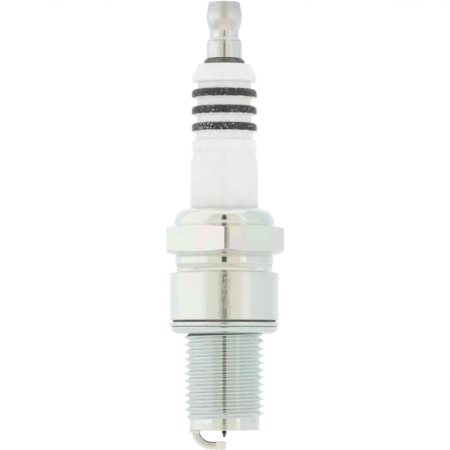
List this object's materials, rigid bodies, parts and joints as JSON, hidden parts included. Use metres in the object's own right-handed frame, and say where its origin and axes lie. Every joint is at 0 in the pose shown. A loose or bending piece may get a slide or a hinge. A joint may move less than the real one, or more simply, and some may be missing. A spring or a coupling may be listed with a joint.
{
  "type": "spark plug",
  "caption": "Resistor spark plug with a threaded plated-steel shell, hexagon, ribbed ceramic insulator, removable terminal nut, crush gasket, fine-wire tip and hooked ground electrode.",
  "frame": {"origin": "on the plug's axis where the shell seats on the cylinder head, at the underside of the shell's collar", "axes": "+Z along the axis towards the terminal, -Z into the engine; the ground electrode is rooted on the -X side and reaches towards +X; the picture looks along +Y"},
  "size_m": [0.0208, 0.023, 0.0781],
  "materials": {
    "plated_steel": "gloss",
    "gasket_steel": "gloss",
    "ground_nickel": "satin",
    "alumina": "gloss",
    "packing_steel": "satin",
    "talc": "matte",
    "seat_copper": "satin",
    "stud_steel": "satin",
    "nut_nickel": "gloss",
    "copper_glass": "satin",
    "resistor_mix": "matte",
    "electrode_nickel": "satin",
    "copper": "satin",
    "weld_alloy": "satin",
    "iridium": "satin"
  },
  "bodies": {
    "plug": {"metal_shell": "plated_steel", "ground_electrode": "ground_nickel", "insulator": "alumina", "upper_packing_ring": "packing_steel", "lower_packing_ring": "packing_steel", "talc_packing": "talc", "seat_packing": "seat_copper", "terminal_stud": "stud_steel", "upper_glass_seal": "copper_glass", "resistor": "resistor_mix", "lower_glass_seal": "copper_glass", "center_electrode": "electrode_nickel", "electrode_copper_core": "copper", "tip_weld": "weld_alloy", "iridium_tip": "iridium"},
    "gasket": {"gasket": "gasket_steel"},
    "terminal_nut": {"terminal_nut": "nut_nickel"}
  },
  "joints": [
    {"name": "gasket_spin", "type": "hinge", "parent": "plug", "child": "gasket", "pos_m": [0, 0, -0.00125], "axis": [0, 0, 1], "continuous": true},
    {"name": "nut_removal", "type": "slide", "parent": "plug", "child": "terminal_nut", "axis": [0, 0, 1], "range_m": [0, 0.012]}
  ]
}
